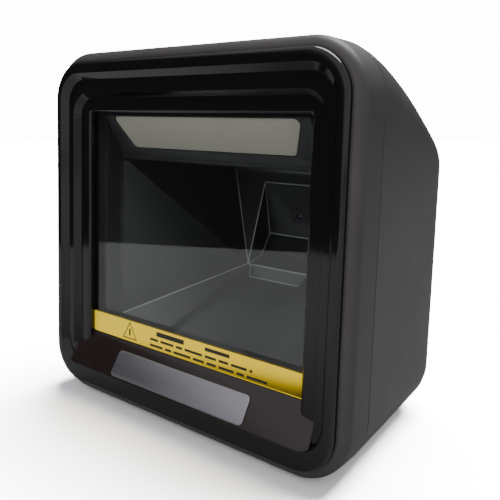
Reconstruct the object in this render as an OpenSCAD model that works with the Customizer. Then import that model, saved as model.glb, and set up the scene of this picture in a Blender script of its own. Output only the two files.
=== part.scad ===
// Desktop presentation barcode scanner: a square glass window in a stepped gloss frame,
// a grey two-part housing, and a black light chamber with a lamp and a small camera behind it.
// Every shape is drawn with y = 0 on the front frame's face and z = 0 on the housing's underside,
// and placed() then moves it so that the origin is on the table under the middle of the scanner.

/* [Housing] */
// Width of the front frame
body_w = 148; // [140:1:160]
// Height of the front frame
body_h = 146; // [140:1:156]
// Depth from the front frame's face to the back
body_d = 97; // [92:1:104]
// Depth of the front frame, up to the seam
seam_y = 14.5; // [12:0.5:16]
// Wall of both housing parts
wall = 2.4; // [1.8:0.1:3]
// Corner radius of the housing seen from the front
corner_r = 20.3; // [16:0.1:24]
// Round on the front frame's outer edge
edge_r = 4; // [2:0.5:5]
// How far each side closes in per millimetre of depth behind the seam
side_draft = 0.075; // [0:0.005:0.1]
// Fall of the top, from the front frame to the back's upper edge
top_drop = 23.7; // [18:0.1:28]
// Radius of the round between the sides and the back
back_r = 22; // [18:0.5:24]

/* [Bezel and window] */
// Width of the gloss bezel
bezel_w = 140; // [134:1:142]
// Height of the gloss bezel
bezel_h = 138; // [132:1:140]
// Corner radius of the bezel
bezel_r = 15.5; // [12:0.5:18]
// How far the bezel stands out of the front frame
bezel_proud = 2.6; // [1:0.1:4]
// Half the width of the clear window
window_x = 54.4; // [50:0.1:56]
// Height of the window's lower edge
window_lo = 25.4; // [24:0.1:27]
// Height of the window's upper edge
window_hi = 121.4; // [118:0.1:124]
// Depth of the glass face behind the front frame's face
glass_y = 6.3; // [6:0.1:7]
// Thickness of the window glass
glass_t = 2; // [1:0.1:2.2]
// Height of the printed caution strip on the glass
strip_h = 9.4; // [5:0.1:12]
// Length of the name plate
plate_w = 68.6; // [40:0.1:80]

/* [Light chamber] */
// Half the width of the chamber at its mouth
chamber_x = 50; // [46:0.5:51]
// Half the width of the camera bay at the back of the chamber
bay_x = 17.4; // [15:0.1:19]
// Depth at which the camera bay starts
bay_y = 70; // [66:0.5:72]
// Height of the camera's lens above the housing's underside
lens_z = 74; // [70:0.5:78]
// Wall of the chamber
chamber_t = 1.8; // [1.2:0.1:2]

/* [Scan button] */
// Length of the button across the top
button_w = 68; // [40:1:80]
// Depth of the button, front to back
button_d = 13; // [10:0.5:14]
// How far the button stands above the housing
button_proud = 1.5; // [0.8:0.1:2]

/* [Feet] */
// Diameter of a rubber foot
foot_d = 12; // [8:0.5:14]
// How far a foot stands below the housing
foot_h = 1; // [0.6:0.1:2]

/* [Hidden] */

$fn = 48;
arc_n = 8;            // facets on each rounded corner of a lofted outline
eps = 0.01;
cut = 1;              // how far a cutting shape runs past the face that it cuts
gap = 0.3;            // space between pieces that are only laid into each other

// Housing
half_w = body_w / 2;
turn_y = body_d - back_r;           // where the back's round starts
join_a = 28;                        // slope at which the falling top runs into that round
join_y = turn_y + back_r * sin(join_a);
join_drop = top_drop + back_r * (1 - cos(join_a));
top_curve = tan(join_a) * (join_y - seam_y) / join_drop; // power that makes the two tangent

// Bezel, measured in from its outer edge: the sides step in faster than the top
bezel_lo = (body_h - bezel_h) / 2;
bezel_hi = bezel_lo + bezel_h;
bezel_x = bezel_w / 2;
ramp_lo_z = 11.6;                   // front edge of the ramp under the window
ramp_x = 61;                        // half the ramp's width
frame_wall_y = 9.3;                 // front of the frame's inner wall, behind glass and gasket
frame_wall_t = 2.2;
flange_y = frame_wall_y + frame_wall_t;
step_outer_y = 0.3;                 // depth of the first land below the outer one
step_inner_y = 3.2;
step_glass_y = 3.5;                 // depth of the last land at the glass's edge
glass_lap = 2.4;                    // how far the glass runs behind the bezel
glass_back = glass_y + glass_t;

// Lamp: a flat light leaning over the top of the window
lamp_y = 13.3;
lamp_z = 113.4;
lamp_tilt = 121.6;
lamp_half_top = 45.7;
lamp_half_low = 41.2;
lamp_half_h = 7.6;
lamp_depth = 10;                    // from the diffuser's back to the lamp board
lamp_frame_x = 50.6;
diffuser_t = 2;
lamp_board_t = 1.2;

// Camera: it looks forward and slightly down from the back wall of the bay
camera_tilt = 101.3;
back_wall_lo = [87.7, 64.2];        // y and z of the back wall's lower edge
back_wall_hi = [82.5, 90.3];        // and of its upper edge
lens_y = back_wall_lo[0] + (lens_z - back_wall_lo[1])
       * (back_wall_hi[0] - back_wall_lo[0]) / (back_wall_hi[1] - back_wall_lo[1]);
camera_board_z = -6.4;              // back of the camera board along the camera's own axis
camera_board_t = 1;
camera_screw_at = [[-14, 4], [14, 4]];

// Boards
board_z = 16.4;
board_t = 1.6;
board_top = board_z + board_t;
board_x = 36;
board_y = [27, 92];
board_holes = [[-31, 40], [31, 40], [-31, 86], [31, 86]];

// Fasteners
pillar_at = [[-62, 14], [62, 14], [-62, 108], [62, 108]];
pillar_y = 56;                      // where the frame's pillars meet the cover's
pillar_r = 4;
insert_l = 6;
screw_head_y = pillar_y + 6;
ear_at = [[-63.5, 45], [63.5, 45], [-63.5, 85], [63.5, 85]];

// Scan button
button_y = 23.5;
button_travel = 1;
button_under = 138.5;               // height of the button's underside
button_board_z = 132;
button_board_t = 1.2;
button_board_top = button_board_z + button_board_t;
button_post_x = 41;
dome_x = 22;

// Cable socket
socket_w = 14;
socket_h = 12;
socket_y = 79.5;
socket_back = body_d - 0.4;
plug_w = 11.8;
plug_h = 8.2;
plug_z = board_top + 2;
socket_wall = 2.4;

// Feet
foot_at = [[-40, 27], [40, 27], [-38, 70], [38, 70]];
foot_pocket = 0.8;

beeper_at = [20, 58];
beeper_r = 6;

housing_grey = [0.30, 0.30, 0.31];
gloss_black = [0.06, 0.06, 0.07];
matte_black = [0.10, 0.10, 0.11];
board_green = [0.08, 0.28, 0.16];
steel = [0.62, 0.63, 0.65];

// ---------- helpers ----------

module placed() {
    translate([0, -(body_d - bezel_proud) / 2, foot_h]) children();
}

// A rounded rectangle across x and z at depth y, as points, counted round from the right.
function ring(y, hx, lo, hi, r) = [
    for (q = [0 : 3], k = [0 : arc_n])
        let (a = 90 * q + 90 * k / arc_n,
             cx = (q == 0 || q == 3) ? hx - r : r - hx,
             cz = q < 2 ? hi - r : lo + r)
        [cx + r * cos(a), y, cz + r * sin(a)]
];

// A closed solid through rings of equal point counts, from front to back.
module skin(rings) {
    n = len(rings[0]);
    m = len(rings);
    polyhedron(
        points = [for (one = rings, p = one) p],
        faces = concat(
            [[for (i = [n - 1 : -1 : 0]) i]],
            [for (j = [0 : m - 2], i = [0 : n - 1], t = [0 : 1])
                let (a = j * n + i, b = j * n + (i + 1) % n)
                t == 0 ? [a, b, b + n] : [a, b + n, a + n]],
            [[for (i = [0 : n - 1]) (m - 1) * n + i]]
        )
    );
}

// A plate across x and z with true round corners, from y0 to y1.
module plate_xz(hx, lo, hi, r, y0, y1) {
    translate([0, y1, 0]) rotate([90, 0, 0]) linear_extrude(y1 - y0) outline(hx, lo, hi, r);
}

module outline(hx, lo, hi, r) {
    difference() {
        translate([-hx, lo]) square([2 * hx, hi - lo]);
        for (sx = [-1, 1], top = [0, 1])
            translate([sx * hx, top ? hi : lo]) difference() {
                square(2 * r, center = true);
                translate([-sx * r, top ? -r : r]) circle(r);
            }
    }
}

// A profile in y and z, pulled across x.
module pulled_x(hx, points) {
    translate([-hx, 0, 0]) rotate([90, 0, 90]) linear_extrude(2 * hx) polygon(points);
}

module post_y(at, r, y0, y1) {
    translate([at[0], y1, at[1]]) rotate([90, 0, 0]) cylinder(r = r, h = y1 - y0);
}

module post_z(at, r, z0, z1) {
    translate([at[0], at[1], z0]) cylinder(r = r, h = z1 - z0);
}

// ---------- housing ----------

function side_x(y) = half_w - side_draft * max(0, min(y, turn_y) - seam_y);

// How far the back's round has come in at depth y.
function round_in(y, r) = y <= turn_y ? 0 : r - sqrt(max(0, r * r - pow(y - turn_y, 2)));

// Height of the top at depth y: it falls faster and faster, then runs into the back's round.
function top_z(y, inset = 0) = y >= join_y
    ? body_h - top_drop - inset - round_in(y, back_r - inset)
    : body_h - join_drop * pow(max(0, y - seam_y) / (join_y - seam_y), top_curve)
      - inset * (1 + 0.12 * max(0, y - seam_y) / (join_y - seam_y));

// The housing's outline at depth y, moved in by inset all round.
function section(y, inset) =
    let (in = inset + round_in(y, back_r - inset))
    ring(y, side_x(y) - in, in, top_z(y, inset), max(corner_r - in, 1));

// The housing's outer form from y0 back, or with an inset its inner one.
module housing(y0, inset = 0) {
    skin(concat(
        [for (k = [0 : 7]) section(y0 + (turn_y - y0) * k / 7, inset)],
        [for (a = [14 : 14 : 84]) section(turn_y + (back_r - inset) * sin(a), inset)],
        [section(body_d - inset, inset)]
    ));
}

module front_frame() {
    color(housing_grey) placed() difference() {
        union() {
            difference() {
                skin(concat(
                    [for (a = [0 : 18 : 90]) let (in = edge_r * (1 - sin(a)))
                        ring(edge_r * (1 - cos(a)), half_w - in, in, body_h - in, corner_r - in)],
                    [ring(seam_y, half_w, 0, body_h, corner_r)]
                ));
                plate_xz(bezel_x + gap, bezel_lo - gap, bezel_hi + gap, bezel_r + gap,
                         -cut, frame_wall_y);
                plate_xz(half_w - wall, wall, body_h - wall, corner_r - wall,
                         flange_y, seam_y + cut);
            }
            for (p = pillar_at) post_y(p, pillar_r, frame_wall_y + eps, pillar_y);
            for (p = ear_at) post_y(p, 2.9, 6, frame_wall_y + cut);
        }
        plate_xz(window_x + 0.2, window_lo - 0.2, window_hi + 0.2, 1, -cut, seam_y);
        for (p = pillar_at) {
            post_y(p, 2.2, pillar_y - insert_l, pillar_y + cut);
            post_y(p, 1.5, pillar_y - 12, pillar_y);
        }
        for (p = ear_at) post_y(p, 1.25, 6.5, flange_y + cut);
    }
}

module rear_cover() {
    color(housing_grey) placed() difference() {
        union() {
            difference() {
                housing(seam_y);
                translate([0, -eps, 0]) housing(seam_y - cut, wall);
            }
            intersection() {
                housing(seam_y);
                union() {
                    for (p = pillar_at) post_y(p, 4.5, pillar_y + 0.2, body_d);
                    for (p = board_holes) post_z(p, 3, 0.5, board_z);
                    for (s = [-1, 1])
                        post_z([s * button_post_x, button_y], 2.6, button_board_top, body_h);
                }
            }
        }
        for (p = pillar_at) {
            post_y(p, 1.7, pillar_y, screw_head_y + cut);
            post_y(p, 3.1, screw_head_y, body_d + cut);
        }
        for (p = board_holes) post_z(p, 1.1, 6, board_z + cut);
        for (s = [-1, 1])
            post_z([s * button_post_x, button_y], 0.9, button_board_z, button_board_top + 5);
        button_hole();
        translate([-socket_w / 2 - gap, turn_y, board_top - gap])
            cube([socket_w + 2 * gap, body_d, socket_h + 2 * gap]);
        for (p = foot_at) post_z(p, foot_d / 2 + 0.2, -cut, foot_pocket);
        for (k = [-3 : 3])
            translate([beeper_at[0] + 3 * k - 0.7, beeper_at[1] - 6, -cut])
                cube([1.4, 12, wall + 2 * cut]);
    }
}

module button_hole() {
    hx = button_w / 2 + 0.4;
    hy = button_d / 2 + 0.4;
    translate([0, button_y, button_under]) linear_extrude(body_h - button_under + cut)
        translate([0, -hy]) outline(hx, 0, 2 * hy, 3.4);
}

// ---------- bezel and window ----------

// A loft between two rounded windows at two depths, used to cut each slope of the bezel.
module slope(y0, x0, lo0, hi0, r0, y1, x1, lo1, hi1, r1) {
    skin([ring(y0, x0, lo0, hi0, r0), ring(y1, x1, lo1, hi1, r1)]);
}

module bezel() {
    lo = ramp_lo_z;
    color(gloss_black) placed() difference() {
        union() {
            difference() {
                skin(concat(
                    [for (a = [0 : 30 : 90]) let (in = 1.6 * (1 - sin(a)))
                        ring(1.6 * (1 - cos(a)) - bezel_proud, bezel_x - in, bezel_lo + in,
                             bezel_hi - in, bezel_r - in)],
                    [ring(frame_wall_y - 0.2, bezel_x, bezel_lo, bezel_hi, bezel_r)]
                ));
                slope(-bezel_proud - cut, bezel_x - 3.4, lo, bezel_hi - 4.8, 11,
                      step_outer_y, bezel_x - 5.5, lo, bezel_hi - 7.2, 10);
                slope(step_outer_y - eps, bezel_x - 8.4, lo, bezel_hi - 12.8, 9,
                      step_inner_y, bezel_x - 10.2, lo, bezel_hi - 14.5, 8);
                slope(step_inner_y - eps, bezel_x - 10.8, lo + 4, bezel_hi - 15.2, 7,
                      step_glass_y, window_x + 0.8, lo + 4, window_hi + 0.8, 1.5);
                plate_xz(window_x + 0.8, lo + 4, window_lo + 1, 1, step_inner_y, glass_y - 0.2);
            }
            ramp();
        }
        plate_xz(window_x, window_lo, window_hi, 1, -10, 20);
        plate_xz(window_x + glass_lap + gap, window_lo - glass_lap - gap,
                 window_hi + glass_lap + gap, 2, glass_y, frame_wall_y);
        difference() {
            plate_xz(bezel_x - wall, bezel_lo + wall, bezel_hi - wall, bezel_r - wall, 5.4, 20);
            plate_xz(window_x + 4.8, window_lo - 4.8, window_hi + 4.8, 4, 0, 30);
        }
    }
}

// The sloping panel from the window's lower edge out to the bezel's bottom land.
module ramp() {
    pulled_x(ramp_x, [
        [-bezel_proud, bezel_lo + 4], [-bezel_proud, ramp_lo_z], [glass_y - 0.2, window_lo],
        [frame_wall_y - 0.2, window_lo], [frame_wall_y - 0.2, bezel_lo + 4]
    ]);
}

module window_glass() {
    color([0.55, 0.6, 0.62, 0.35]) placed()
        plate_xz(window_x + glass_lap, window_lo - glass_lap, window_hi + glass_lap, 2,
                 glass_y, glass_back);
}

module window_gasket() {
    color(matte_black) placed() difference() {
        plate_xz(window_x + glass_lap, window_lo - glass_lap, window_hi + glass_lap, 2,
                 glass_back, frame_wall_y);
        plate_xz(window_x + 0.4, window_lo - 0.4, window_hi + 0.4, 1, 0, 20);
    }
}

module caution_strip() {
    color([0.81, 0.71, 0.24]) placed()
        plate_xz(window_x - 0.1, window_lo + 0.1, window_lo + strip_h, 1.1,
                 glass_y - 0.15, glass_y);
}

ramp_tilt = atan2(window_lo - ramp_lo_z, glass_y - 0.2 + bezel_proud);

module name_plate() {
    plate_h = 11;
    along = 6.4;       // from the ramp's front edge to the plate's middle
    color([0.55, 0.55, 0.56]) placed()
        translate([0, -bezel_proud, ramp_lo_z]) rotate([ramp_tilt, 0, 0])
            linear_extrude(0.5) translate([0, along - plate_h / 2])
                outline(plate_w / 2, 0, plate_h, 1.8);
}

// ---------- light chamber ----------

// The room inside the chamber, or with grow its outer form.
module chamber_form(grow) {
    mouth = chamber_x + grow;
    bay = bay_x + grow;
    // mouth, straight back from the flange
    translate([-mouth - 2, flange_y - cut, 27 - grow])
        cube([2 * mouth + 4, 7 + cut + grow, window_hi - 27 + 2 * grow]);
    // side walls that close in to the camera bay
    hull() {
        for (s = [-1, 1]) {
            translate([s * mouth, 17.5, 31 - grow]) point();
            translate([s * mouth, 17.5, 103 + grow]) point();
            translate([s * bay, bay_y + grow, 51.2 - grow]) point();
            translate([s * bay, bay_y + grow, 64 + grow]) point();
        }
    }
    // upper part, which opens out above a slanting edge
    hull() {
        for (s = [-1, 1]) {
            translate([s * mouth, 18.5, 102]) point();
            translate([s * mouth, 18.5, 104 + grow]) point();
            translate([s * bay, bay_y + grow, 51.2]) point();
            translate([s * bay, bay_y + 0.8 + grow, 63.7]) point();
            translate([s * (37 + grow), 84 + grow, 95.4]) point();
            translate([s * (37 + grow), 84 + grow, 98 + grow]) point();
        }
    }
    // shallow channel down the middle of the floor
    hull() {
        for (s = [-1, 1]) {
            translate([s * (20 + grow), 17.5, 27 - grow]) point();
            translate([s * (20 + grow), 17.5, 34]) point();
            translate([s * (bay - 1.2), bay_y + grow, 45 - grow]) point();
            translate([s * (bay - 1.2), bay_y + grow, 53]) point();
        }
    }
    // camera bay
    pulled_x(bay, [
        [bay_y - 1, 51.2 - grow], [bay_y + grow / 2, 51.2 - grow], [81.7 + grow, 54.3 - grow],
        [back_wall_lo[0] + grow, back_wall_lo[1] - grow / 2],
        [back_wall_hi[0] + grow, back_wall_hi[1] + grow], [bay_y - 1, 64]
    ]);
}

module point() {
    cube(eps, center = true);
}

module light_chamber() {
    color(matte_black) placed() difference() {
        union() {
            intersection() {
                chamber_form(chamber_t);
                translate([-100, flange_y, -10]) cube([200, 200, 200]);
            }
            in_camera() for (p = camera_screw_at)
                post_z(p, 2.2, camera_board_z + camera_board_t, -chamber_t / 2);
            plate_xz(window_x + 1.5, window_lo - 3, window_hi + 3.4, 3, flange_y, flange_y + 2);
            for (p = ear_at)
                translate([p[0] < 0 ? p[0] - 4 : 50, flange_y, p[1] - 5]) cube([17.5, 2, 10]);
        }
        chamber_form(0);
        in_lamp() translate([-lamp_frame_x - 0.4, -14, -16]) cube([2 * lamp_frame_x + 0.8, 24, 18]);
        in_camera() translate([0, 0, -4]) cylinder(r = 2.9, h = 6);
        in_camera() for (p = camera_screw_at) post_z(p, 0.8, camera_board_z, -2.2);
        for (p = ear_at) post_y(p, 1.5, flange_y - cut, flange_y + 2 + cut);
    }
}

// ---------- lamp ----------

module in_lamp() {
    translate([0, lamp_y, lamp_z]) rotate([lamp_tilt, 0, 0]) children();
}

module trapezoid(grow, r) {
    hull() {
        for (s = [-1, 1]) {
            translate([s * (lamp_half_top + grow - r), lamp_half_h + grow - r]) circle(r, $fn = 32);
            translate([s * (lamp_half_low + grow - r), -lamp_half_h - grow + r]) circle(r, $fn = 32);
        }
    }
}

module lamp_frame() {
    low = -13.2;
    high = 8.3;
    color(matte_black) placed() in_lamp() difference() {
        union() {
            translate([-lamp_frame_x, low, -diffuser_t]) cube([2 * lamp_frame_x, high - low, 2.4]);
            translate([-lamp_frame_x, low, -diffuser_t]) cube([2 * lamp_frame_x, 1.6, 3.2]);
        }
        translate([0, 0, -diffuser_t - cut]) linear_extrude(10) trapezoid(0.1, 2.2);
    }
}

module lamp_diffuser() {
    color([0.62, 0.61, 0.56]) placed() in_lamp()
        translate([0, 0, -diffuser_t]) linear_extrude(diffuser_t) trapezoid(0, 2.1);
}

module lamp_reflector() {
    hx = 47;
    low = -9;
    high = 7.6;
    t = 1.2;
    color([0.9, 0.9, 0.88]) placed() in_lamp() translate([0, 0, -diffuser_t - lamp_depth])
        difference() {
            translate([-hx, low, 0]) cube([2 * hx, high - low, lamp_depth]);
            translate([t - hx, low + t, -cut])
                cube([2 * (hx - t), high - low - 2 * t, lamp_depth + 2 * cut]);
        }
}

lamp_board_back = -diffuser_t - lamp_depth - lamp_board_t;

module lamp_board() {
    color(board_green) placed() in_lamp()
        translate([-48, -9, lamp_board_back]) cube([96, 17.2, lamp_board_t]);
}

module lamp_leds() {
    count = 8;
    pitch = 10.8;
    color([0.95, 0.9, 0.6]) placed() in_lamp() for (k = [0 : count - 1])
        translate([(k - (count - 1) / 2) * pitch - 1.5, -1.9, -diffuser_t - lamp_depth])
            cube([3, 3, 1.1]);
}

module lamp_socket() {
    color([0.85, 0.83, 0.76]) placed() in_lamp()
        translate([-36, -7.5, lamp_board_back - 3.4]) cube([12, 4, 3.4]);
}

module lamp_ribbon() {
    y = 31.4;
    color([0.75, 0.76, 0.78]) placed() translate([0, y + 0.3, 0]) rotate([90, 0, 0])
        linear_extrude(0.3) union() {
            translate([-57.5, 112]) square([30, 6]);
            translate([-57.5, 18.6]) square([6, 99.4]);
            translate([-57.5, 18.6]) square([23.5, 4]);
        }
}

// ---------- camera ----------

module in_camera() {
    translate([0, lens_y, lens_z]) rotate([camera_tilt, 0, 0]) children();
}

module lens_barrel() {
    color(matte_black) placed() in_camera() difference() {
        union() {
            translate([0, 0, -2.6]) cylinder(r = 2.6, h = 2.2);
            translate([0, 0, -4.4]) cylinder(r = 3, h = 1.9);
        }
        translate([0, 0, -1.4]) cylinder(r1 = 1.5, r2 = 2.2, h = 1.4);
        translate([0, 0, -5]) cylinder(r = 1.5, h = 4);
    }
}

module lens_glass() {
    color([0.2, 0.25, 0.35]) placed() in_camera()
        intersection() {
            translate([0, 0, -2.2]) cylinder(r = 1.5, h = 2);
            translate([0, 0, -3.8]) sphere(r = 2.6);
        }
}

module lens_holder() {
    color(matte_black) placed() in_camera() difference() {
        translate([-4.5, -4.5, -5.4]) cube([9, 9, 2.9]);
        translate([0, 0, -4.4]) cylinder(r = 3.02, h = 4);
        translate([-3.2, -3.2, -6]) cube([6.4, 6.4, 1.58]);
    }
}

module image_sensor() {
    color([0.15, 0.17, 0.2]) placed() in_camera()
        translate([-2.8, -2.5, -5.4]) cube([5.6, 5, 0.7]);
}

module camera_board() {
    color(board_green) placed() in_camera() difference() {
        translate([-18, -6, camera_board_z]) cube([36, 18, camera_board_t]);
        for (p = camera_screw_at) post_z(p, 1.1, camera_board_z - cut, camera_board_z + 2 * cut);
    }
}

module camera_screws() {
    color(steel) placed() in_camera() for (p = camera_screw_at) {
        post_z(p, 0.75, camera_board_z, -2.4);
        post_z(p, 1.7, camera_board_z - 1.2, camera_board_z);
    }
}

module camera_ribbon() {
    x0 = 9;
    w = 8;
    color([0.75, 0.76, 0.78]) placed() translate([x0, 0, 0]) rotate([90, 0, 90])
        linear_extrude(w) polygon([
            [92.7, 69.2], [93, 69.2], [94.1, 60], [94.1, 30], [90.3, 20.2], [88, 20.2],
            [88, 20.5], [90.1, 20.5], [93.8, 30], [93.8, 60]
        ]);
}

// ---------- main board ----------

module main_board() {
    color(board_green) placed() difference() {
        translate([-board_x, board_y[0], board_z])
            cube([2 * board_x, board_y[1] - board_y[0], board_t]);
        for (p = board_holes) post_z(p, 1.4, board_z - cut, board_top + cut);
    }
}

module on_board(x, y, w, d, h) {
    translate([x - w / 2, y - d / 2, board_top]) cube([w, d, h]);
}

module processor() {
    color([0.12, 0.12, 0.13]) placed() on_board(-4, 48, 15, 15, 1.3);
}

module shield_can() {
    color(steel) placed() difference() {
        on_board(-22, 66, 20, 22, 3);
        translate([0, 0, -0.3]) on_board(-22, 66, 19.4, 21.4, 3);
    }
}

module board_chips() {
    color([0.12, 0.12, 0.13]) placed() {
        on_board(-24, 46, 9, 6, 1.1);
        on_board(14, 42, 8, 6, 1.1);
        on_board(0, 64, 6, 5, 1);
        on_board(26, 74, 7, 7, 2.6);
        on_board(-20, 84, 5, 4, 1);
        for (k = [0 : 4]) on_board(10 + 3 * k, 34, 1.2, 2, 0.8);
        for (k = [0 : 3]) on_board(-12 + 3.2 * k, 36, 2, 1.2, 0.8);
    }
}

module board_sockets() {
    color([0.85, 0.83, 0.76]) placed() {
        difference() {
            on_board(-32, 31.5, 7, 4, 6);
            translate([-37, 31.2, board_top + 0.4]) cube([3.5, 0.7, 4.4]);
        }
        on_board(13, 86, 10, 4, 3);
    }
}

// ---------- cable socket ----------

module cable_socket() {
    color([0.2, 0.2, 0.21]) placed() difference() {
        translate([-socket_w / 2, socket_y, board_top])
            cube([socket_w, socket_back - socket_y, socket_h]);
        translate([-plug_w / 2, socket_y + socket_wall, plug_z])
            cube([plug_w, body_d, plug_h]);
        translate([-3.2, socket_y + socket_wall, plug_z - 1.4]) cube([6.4, body_d, 2]);
    }
}

module socket_contacts() {
    color([0.85, 0.7, 0.35]) placed() for (k = [0 : 7])
        translate([(k - 3.5) * 1.1 - 0.2, socket_y + socket_wall, plug_z + plug_h - 1.1])
            cube([0.4, 8, 1.1]);
}

module beeper() {
    color([0.1, 0.1, 0.1]) placed() difference() {
        post_z(beeper_at, beeper_r, board_top, board_top + 7);
        post_z(beeper_at, 1.2, board_top + 5.5, board_top + 8);
    }
}

// ---------- scan button ----------

// The button's outline at a height that follows the housing's top, moved in and up.
function button_ring(inset, up, flat = false) = [
    for (p = ring(0, button_w / 2 - inset, -button_d / 2 + inset, button_d / 2 - inset, 3 - inset))
        [p[0], button_y - p[2], flat ? up : top_z(button_y) + up + button_fall * p[2]]
];
button_fall = (top_z(button_y - button_d / 2) - top_z(button_y + button_d / 2)) / button_d;

module scan_button() {
    color(housing_grey) placed() difference() {
        union() {
            skin([button_ring(0, button_under, true), button_ring(0, button_proud - 0.7),
                  button_ring(0.25, button_proud - 0.2), button_ring(0.9, button_proud)]);
            translate([0, button_y - button_d / 2 - 0.9, button_under])
                linear_extrude(1) outline(button_w / 2 + 1.6, 0, button_d + 1.8, 3);
        }
        translate([-button_w / 2 + 2, button_y - button_d / 2 + 2, button_under - cut])
            cube([button_w - 4, button_d - 4, 2.2]);
    }
    color(housing_grey) placed() {
        post_z([0, button_y], 2.4, button_under, button_under + 2);
        for (s = [-1, 1]) post_z([s * dome_x, button_y], 3.2, button_under, button_under + 2);
    }
}

module button_domes() {
    color([0.75, 0.75, 0.72]) placed() for (s = [-1, 1])
        translate([s * dome_x, button_y, button_board_top]) difference() {
            union() {
                cylinder(r = 4.4, h = 0.8);
                cylinder(r1 = 3.8, r2 = 2.4, h = button_under - button_board_top);
            }
            translate([0, 0, -eps]) cylinder(r1 = 3, r2 = 1.4, h = 3.6);
        }
}

module button_board() {
    color(board_green) placed() difference() {
        translate([-button_post_x - 4, button_y - 6, button_board_z])
            cube([2 * button_post_x + 8, 12, button_board_t]);
        for (s = [-1, 1])
            post_z([s * button_post_x, button_y], 1.2, button_board_z - cut, button_board_top + cut);
    }
}

module tact_switch() {
    color(steel) placed() difference() {
        translate([-3.1, button_y - 3.1, button_board_top]) cube([6.2, 6.2, 3.4]);
        post_z([0, button_y], 1.75, button_board_top + 0.5, button_board_top + 4);
    }
}

module switch_plunger() {
    color([0.1, 0.1, 0.1]) placed()
        post_z([0, button_y], 1.6, button_board_top + 1.7, button_under);
}

// ---------- fasteners, feet, label ----------

module button_screws() {
    color(steel) placed() for (s = [-1, 1]) {
        post_z([s * button_post_x, button_y], 0.85, button_board_z, button_board_top + 4.5);
        post_z([s * button_post_x, button_y], 1.9, button_board_z - 1.3, button_board_z);
    }
}

module cover_screws() {
    color(steel) placed() for (p = pillar_at) difference() {
        union() {
            post_y(p, 1.25, pillar_y - 10, screw_head_y);
            post_y(p, 2.8, screw_head_y, screw_head_y + 2.2);
        }
        translate([p[0] - 0.35, screw_head_y + 1.2, p[1] - 1.8]) cube([0.7, 2, 3.6]);
        translate([p[0] - 1.8, screw_head_y + 1.2, p[1] - 0.35]) cube([3.6, 2, 0.7]);
    }
}

module thread_inserts() {
    color([0.78, 0.62, 0.3]) placed() for (p = pillar_at) difference() {
        post_y(p, 2.2, pillar_y - insert_l, pillar_y);
        post_y(p, 1.3, pillar_y - insert_l - cut, pillar_y + cut);
    }
}

module chamber_screws() {
    color(steel) placed() for (p = ear_at) {
        post_y(p, 1.2, 7, flange_y + 2);
        post_y(p, 2.5, flange_y + 2, flange_y + 3.8);
    }
}

module board_screws() {
    color(steel) placed() for (p = board_holes) {
        post_z(p, 1.05, 7, board_top);
        post_z(p, 2.3, board_top, board_top + 1.6);
    }
}

module rubber_feet() {
    color([0.12, 0.12, 0.12]) placed() for (p = foot_at)
        translate([p[0], p[1], 0]) rotate_extrude() polygon([
            [0, -foot_h], [foot_d / 2 - 0.6, -foot_h], [foot_d / 2, 0.6 - foot_h],
            [foot_d / 2, foot_pocket], [0, foot_pocket]
        ]);
}

module rating_label() {
    color([0.8, 0.8, 0.8]) placed() translate([-36, 36, -0.15]) cube([40, 24, 0.15]);
}

front_frame();
rear_cover();
bezel();
window_glass();
window_gasket();
caution_strip();
name_plate();
light_chamber();
lamp_frame();
lamp_diffuser();
lamp_reflector();
lamp_board();
lamp_leds();
lamp_socket();
lamp_ribbon();
lens_barrel();
lens_glass();
lens_holder();
image_sensor();
camera_board();
camera_screws();
camera_ribbon();
main_board();
processor();
shield_can();
board_chips();
board_sockets();
cable_socket();
socket_contacts();
beeper();
scan_button();
button_domes();
button_board();
tact_switch();
switch_plunger();
button_screws();
cover_screws();
thread_inserts();
chamber_screws();
board_screws();
rubber_feet();
rating_label();
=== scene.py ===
# %% [markdown]
# # A desktop barcode scanner
#
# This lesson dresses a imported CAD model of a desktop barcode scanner. The CAD part fixes every
# size and place. Blender adds what the eye expects of the real thing: rounded moulded edges,
# grained grey ABS, a polished black bezel, clear glass and a dim light chamber behind it.
#
# The CAD frame is loaded first. Its nodes stay where they are. A piece that needs a softer
# shape is modelled again and stands for its node.

# %% Load the fixed frame
import math
import bpy
import bmesh
from mathutils import Matrix, Vector


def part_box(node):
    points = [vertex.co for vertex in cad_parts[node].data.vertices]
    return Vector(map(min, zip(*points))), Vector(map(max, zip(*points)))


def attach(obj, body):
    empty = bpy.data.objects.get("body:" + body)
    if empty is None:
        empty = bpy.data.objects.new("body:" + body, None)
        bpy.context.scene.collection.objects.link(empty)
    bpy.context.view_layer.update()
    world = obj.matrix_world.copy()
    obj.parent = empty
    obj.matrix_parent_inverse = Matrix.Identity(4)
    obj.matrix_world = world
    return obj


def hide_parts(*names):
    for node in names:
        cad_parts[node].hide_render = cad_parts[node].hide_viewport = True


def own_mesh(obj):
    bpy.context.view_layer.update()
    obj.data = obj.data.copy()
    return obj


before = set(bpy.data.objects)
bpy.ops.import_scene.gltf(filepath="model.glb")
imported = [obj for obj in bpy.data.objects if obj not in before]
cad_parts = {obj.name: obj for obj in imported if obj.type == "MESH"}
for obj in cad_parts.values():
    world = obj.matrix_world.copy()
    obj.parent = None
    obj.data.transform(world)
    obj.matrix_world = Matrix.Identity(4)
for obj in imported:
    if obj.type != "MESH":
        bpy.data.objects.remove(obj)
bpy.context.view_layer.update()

# %% [markdown]
# ## The camera
#
# The scanner is looked at from its right, a little above the middle of the window. The camera
# turns left about the upright axis, tips slightly down and leans by a degree and a half. The
# small lens shift frames the scanner without turning the camera, which would change its
# perspective.

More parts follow.
